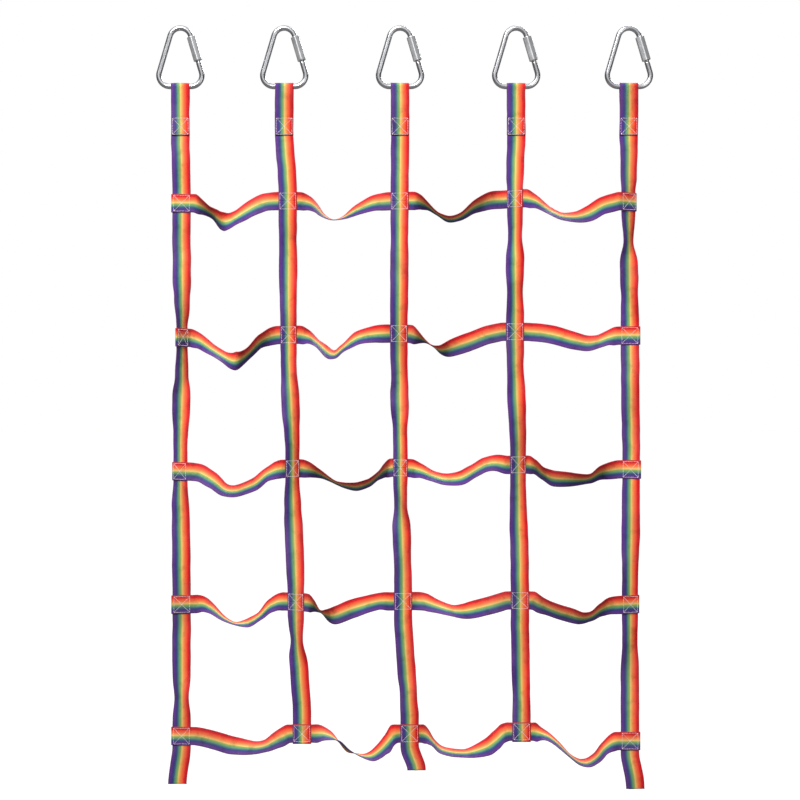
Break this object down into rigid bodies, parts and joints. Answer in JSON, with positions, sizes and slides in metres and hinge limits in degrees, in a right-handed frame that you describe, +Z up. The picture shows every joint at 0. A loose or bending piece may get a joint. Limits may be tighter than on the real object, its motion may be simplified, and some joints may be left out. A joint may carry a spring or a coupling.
{
  "type": "cargo climbing net",
  "caption": "Cargo climbing net of rainbow-striped webbing: slack rungs sewn across vertical straps, each strap looped over a delta screw link that hangs the net from a beam.",
  "frame": {"origin": "inner crown of the middle quick link, where its eye hangs on the beam's hardware", "axes": "+Z up, against the hang of the net; +X to the right seen from the front; +Y towards the back of the net"},
  "size_m": [1.292, 0.0929, 1.9855],
  "materials": {
    "strap_webbing": "matte woven polyester webbing with rainbow stripes along its length",
    "rung_webbing": "matte woven polyester webbing with rainbow stripes along its length",
    "stitch_thread": "white bonded polyester thread",
    "link_steel": "polished stainless steel",
    "sleeve_steel": "satin stainless steel"
  },
  "bodies": {
    "links": {"quick_link_1": "link_steel", "quick_link_2": "link_steel", "quick_link_3": "link_steel", "quick_link_4": "link_steel", "quick_link_5": "link_steel"},
    "sleeve_1": {"screw_sleeve_1": "sleeve_steel"},
    "sleeve_2": {"screw_sleeve_2": "sleeve_steel"},
    "sleeve_3": {"screw_sleeve_3": "sleeve_steel"},
    "sleeve_4": {"screw_sleeve_4": "sleeve_steel"},
    "sleeve_5": {"screw_sleeve_5": "sleeve_steel"},
    "row_1": {"rung_1": "rung_webbing", "strap_1_loop": "strap_webbing", "strap_2_loop": "strap_webbing", "strap_3_loop": "strap_webbing", "strap_4_loop": "strap_webbing", "strap_5_loop": "strap_webbing"},
    "row_2": {"rung_2": "rung_webbing", "strap_1_section_2": "strap_webbing", "strap_2_section_2": "strap_webbing", "strap_3_section_2": "strap_webbing", "strap_4_section_2": "strap_webbing", "strap_5_section_2": "strap_webbing"},
    "row_3": {"rung_3": "rung_webbing", "strap_1_section_3": "strap_webbing", "strap_2_section_3": "strap_webbing", "strap_3_section_3": "strap_webbing", "strap_4_section_3": "strap_webbing", "strap_5_section_3": "strap_webbing"},
    "row_4": {"rung_4": "rung_webbing", "strap_1_section_4": "strap_webbing", "strap_2_section_4": "strap_webbing", "strap_3_section_4": "strap_webbing", "strap_4_section_4": "strap_webbing", "strap_5_section_4": "strap_webbing"},
    "row_5": {"rung_5": "rung_webbing", "strap_1_section_5": "strap_webbing", "strap_2_section_5": "strap_webbing", "strap_3_section_5": "strap_webbing", "strap_4_section_5": "strap_webbing", "strap_5_section_5": "strap_webbing", "tail_patch_3": "strap_webbing"},
    "left_tail": {"tail_1": "strap_webbing"},
    "middle_tail": {"tail_3": "strap_webbing"},
    "right_tail": {"tail_5": "strap_webbing"}
  },
  "joints": [
    {"name": "net_swing", "type": "hinge", "parent": "links", "child": "row_1", "pos_m": [0, 0, -0.145], "axis": [1, 0, 0], "range_deg": [-75, 75]},
    {"name": "fold_2", "type": "hinge", "parent": "row_1", "child": "row_2", "pos_m": [0, 0.00115, -0.6165], "axis": [1, 0, 0], "range_deg": [-60, 60]},
    {"name": "fold_3", "type": "hinge", "parent": "row_2", "child": "row_3", "pos_m": [0, 0.00115, -0.9645], "axis": [1, 0, 0], "range_deg": [-60, 60]},
    {"name": "fold_4", "type": "hinge", "parent": "row_3", "child": "row_4", "pos_m": [0, 0.00115, -1.3125], "axis": [1, 0, 0], "range_deg": [-60, 60]},
    {"name": "fold_5", "type": "hinge", "parent": "row_4", "child": "row_5", "pos_m": [0, 0.00115, -1.6605], "axis": [1, 0, 0], "range_deg": [-60, 60]},
    {"name": "left_tail_flap", "type": "hinge", "parent": "row_5", "child": "left_tail", "pos_m": [-0.568, 0.00115, -1.8605], "axis": [1, 0, 0], "range_deg": [-90, 90]},
    {"name": "middle_tail_flap", "type": "hinge", "parent": "row_5", "child": "middle_tail", "pos_m": [0.025, -0.00115, -1.8545], "axis": [1, 0, 0], "range_deg": [-90, 90]},
    {"name": "right_tail_flap", "type": "hinge", "parent": "row_5", "child": "right_tail", "pos_m": [0.598, 0.00115, -1.8735], "axis": [1, 0, 0], "range_deg": [-90, 90]},
    {"name": "sleeve_1_unscrew", "type": "slide", "parent": "links", "child": "sleeve_1", "axis": [0.2831, 0, -0.9591], "range_m": [0, 0.026]},
    {"name": "sleeve_2_unscrew", "type": "slide", "parent": "links", "child": "sleeve_2", "axis": [0.2831, 0, -0.9591], "range_m": [0, 0.026]},
    {"name": "sleeve_3_unscrew", "type": "slide", "parent": "links", "child": "sleeve_3", "axis": [0.2831, 0, -0.9591], "range_m": [0, 0.026]},
    {"name": "sleeve_4_unscrew", "type": "slide", "parent": "links", "child": "sleeve_4", "axis": [0.2831, 0, -0.9591], "range_m": [0, 0.026]},
    {"name": "sleeve_5_unscrew", "type": "slide", "parent": "links", "child": "sleeve_5", "axis": [0.2831, 0, -0.9591], "range_m": [0, 0.026]}
  ]
}
